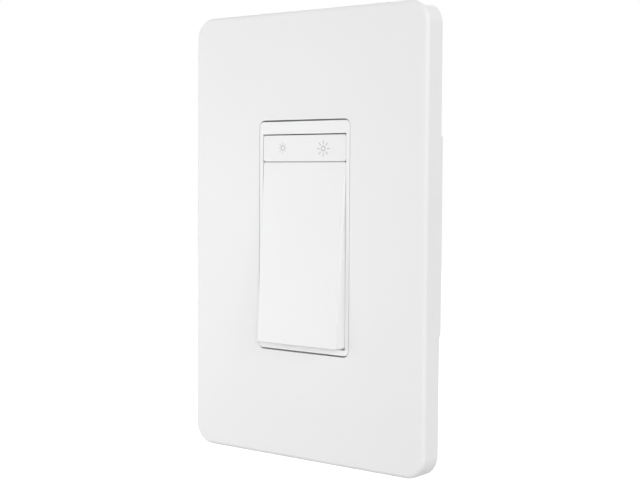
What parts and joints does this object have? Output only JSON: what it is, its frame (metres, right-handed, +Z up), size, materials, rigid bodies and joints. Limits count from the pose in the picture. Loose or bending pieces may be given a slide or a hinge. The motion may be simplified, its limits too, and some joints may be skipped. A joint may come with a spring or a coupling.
{
  "type": "smart dimmer switch",
  "caption": "Wall-mounted smart light dimmer with a screwless plate, a rocking dimmer bar with two sun symbols and a large wedge-shaped push paddle.",
  "frame": {"origin": "middle of the wall plane, on the back of the metal strap, midway between the two device-box screws", "axes": "+X to the right seen from the room, +Y into the wall, +Z up"},
  "size_m": [0.0844, 0.0432, 0.129],
  "materials": {
    "white_cover": "fine satin white polycarbonate",
    "white_bezel": "smooth satin white polycarbonate",
    "white_control": "smooth satin white polycarbonate",
    "white_moulding": "plain white nylon as moulded",
    "white_paint": "white painted screw heads",
    "strap_steel": "zinc plated sheet steel",
    "screw_steel": "bright zinc plated steel",
    "black_moulding": "black moulding compound",
    "circuit_board": "green solder mask on glass epoxy",
    "fish_paper": "insulating paper",
    "grey_pad": "soft thermal pad",
    "ferrite": "matt sintered ferrite",
    "copper": "enamelled copper wire",
    "yellow_case": "moulded capacitor case",
    "blue_case": "sleeve of a component",
    "housing_black": "fine textured black phenolic moulding",
    "brass": "plain brass",
    "green_screw": "green dyed ground screw"
  },
  "bodies": {
    "base": {"cover_plate": "white_cover", "mounting_plate": "white_moulding", "plate_screws": "white_paint", "strap": "strap_steel", "box_screws": "screw_steel", "bezel": "white_bezel", "paddle_springs": "screw_steel", "paddle_switch": "black_moulding", "dim_switch": "black_moulding", "bright_switch": "black_moulding", "control_board": "circuit_board", "board_spacers": "white_moulding", "insulator_sheet": "fish_paper", "radio_board": "circuit_board", "radio_shield": "screw_steel", "processor": "black_moulding", "board_header": "black_moulding", "power_board": "circuit_board", "triac": "black_moulding", "triac_pad": "grey_pad", "choke_core": "ferrite", "choke_winding": "copper", "film_capacitor": "yellow_case", "electrolytic_capacitors": "blue_case", "transformer_core": "ferrite", "transformer_coil": "yellow_case", "varistor": "blue_case", "fuse": "black_moulding", "bridge_rectifier": "black_moulding", "rear_housing": "housing_black", "housing_screws": "screw_steel", "terminal_plates": "brass", "hot_terminal_screws": "brass", "neutral_terminal_screws": "screw_steel", "ground_screw": "green_screw"},
    "paddle": {"paddle": "white_control"},
    "dimmer_bar": {"dimmer_bar": "white_control"},
    "paddle_stem": {"paddle_switch_stem": "white_moulding"},
    "dim_stem": {"dim_switch_stem": "white_moulding"},
    "bright_stem": {"bright_switch_stem": "white_moulding"}
  },
  "joints": [
    {"name": "paddle_press", "type": "hinge", "parent": "base", "child": "paddle", "pos_m": [0, -0.0045, 0.01882], "axis": [1, 0, 0], "range_deg": [0, 2], "stiffness_Nm_per_rad": 0.25, "springref_deg": -5.73, "deforming": ["paddle_springs"]},
    {"name": "bar_rock", "type": "hinge", "parent": "base", "child": "dimmer_bar", "pos_m": [0, -0.0043, 0.0253], "axis": [0, 0, 1], "range_deg": [-1.5, 1.5], "stiffness_Nm_per_rad": 0.3},
    {"name": "paddle_stem_slide", "type": "slide", "parent": "base", "child": "paddle_stem", "axis": [0, 1, 0], "range_m": [0, 0.00036]},
    {"name": "dim_stem_slide", "type": "slide", "parent": "base", "child": "dim_stem", "axis": [0, 1, 0], "range_m": [-0.0002, 0.0002]},
    {"name": "bright_stem_slide", "type": "slide", "parent": "base", "child": "bright_stem", "axis": [0, 1, 0], "range_m": [-0.0002, 0.0002]}
  ],
  "couplings": [
    {"joint": "paddle_stem_slide", "follows": "paddle_press", "m_per_rad": 0.01},
    {"joint": "dim_stem_slide", "follows": "bar_rock", "m_per_rad": -0.007},
    {"joint": "bright_stem_slide", "follows": "bar_rock", "m_per_rad": 0.007}
  ]
}
